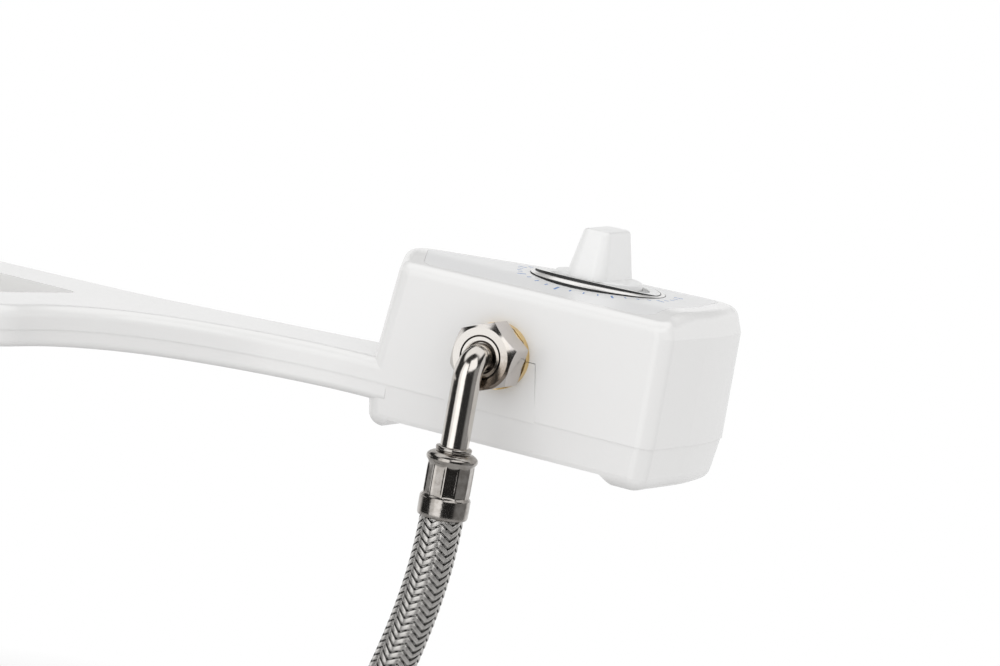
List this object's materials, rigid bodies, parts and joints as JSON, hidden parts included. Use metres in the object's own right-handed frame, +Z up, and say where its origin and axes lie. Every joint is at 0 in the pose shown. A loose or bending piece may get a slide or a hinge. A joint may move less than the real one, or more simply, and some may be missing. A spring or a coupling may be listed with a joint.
{
  "type": "bidet attachment",
  "caption": "Flat two-shell bidet plate clamped under a toilet seat, with an arm to a control box, rotary valve knob, retracting spray nozzle and braided water hose.",
  "frame": {"origin": "midpoint of the two seat bolt slots, on the underside of the plate", "axes": "+X to the seated user's right (towards the control box), +Y forward (away from the cistern), +Z up"},
  "size_m": [0.454, 0.1819, 0.392],
  "materials": {
    "shell_white": "moulded ABS, glossy",
    "label_grey": "satin printed film",
    "trim_chrome": "plated",
    "knob_white": "moulded ABS, glossy",
    "brass": "turned",
    "nickel": "nickel plated brass",
    "braid_steel": "braided flat stainless wire",
    "stainless": "plain",
    "rubber_black": "moulded",
    "rubber_grey": "moulded",
    "acetal_white": "moulded",
    "ceramic": "polished alumina",
    "tube_clear": "soft tubing",
    "tie_white": "nylon strap"
  },
  "bodies": {
    "base": {"upper_casing": "shell_white", "lower_casing": "shell_white", "panel_label": "label_grey", "trim_ring": "trim_chrome", "knob_seal": "rubber_black", "rim_pads": "rubber_grey", "casing_screws": "stainless", "housing_screws": "stainless", "valve_body": "acetal_white", "bonnet_nut": "brass", "fixed_disc": "ceramic", "inlet_connector": "brass", "inlet_o_ring": "rubber_black", "inlet_lock_nut": "brass", "inlet_gasket": "rubber_black", "inlet_filter": "stainless", "swivel_nut": "nickel", "elbow_pipe": "nickel", "hose_washer": "rubber_black", "hose_ferrule": "nickel", "braided_hose": "braid_steel", "hose_coil": "braid_steel", "coil_tie": "tie_white", "far_ferrule": "nickel", "far_nipple": "nickel", "far_washer": "rubber_black", "nozzle_housing": "acetal_white", "housing_cap": "acetal_white", "return_spring": "stainless", "clean_jet": "acetal_white", "gate_pin": "stainless", "wash_tube": "tube_clear", "clean_tube": "tube_clear", "tube_clips": "acetal_white"},
    "knob": {"knob": "knob_white", "valve_stem": "brass", "moving_disc": "ceramic", "stem_o_ring": "rubber_black"},
    "nozzle": {"nozzle_tube": "acetal_white", "spray_tip": "knob_white", "piston_seal": "rubber_black"},
    "gate": {"guard_gate": "shell_white"},
    "plate_left": {"adjusting_plate_left": "acetal_white"},
    "plate_right": {"adjusting_plate_right": "acetal_white"},
    "supply_nut": {"far_nut": "nickel"}
  },
  "joints": [
    {"name": "knob_turn", "type": "hinge", "parent": "base", "child": "knob", "pos_m": [0.285, 0.082, 0.05], "axis": [0, 0, 1], "range_deg": [-100, 100]},
    {"name": "nozzle_slide", "type": "slide", "parent": "base", "child": "nozzle", "axis": [0, 0.6428, -0.766], "range_m": [0, 0.024], "stiffness_N_per_m": 60, "springref_m": -0.006, "deforming": ["return_spring"]},
    {"name": "gate_swing", "type": "hinge", "parent": "base", "child": "gate", "pos_m": [0, 0.07913, -0.01918], "axis": [1, 0, 0], "range_deg": [0, 75]},
    {"name": "plate_left_slide", "type": "slide", "parent": "base", "child": "plate_left", "axis": [0, 1, 0], "range_m": [-0.005, 0.005]},
    {"name": "plate_right_slide", "type": "slide", "parent": "base", "child": "plate_right", "axis": [0, 1, 0], "range_m": [-0.005, 0.005]},
    {"name": "supply_nut_spin", "type": "hinge", "parent": "base", "child": "supply_nut", "pos_m": [0.24375, -0.01234, -0.25519], "axis": [-0.4222, -0.0452, -0.9054], "continuous": true}
  ]
}
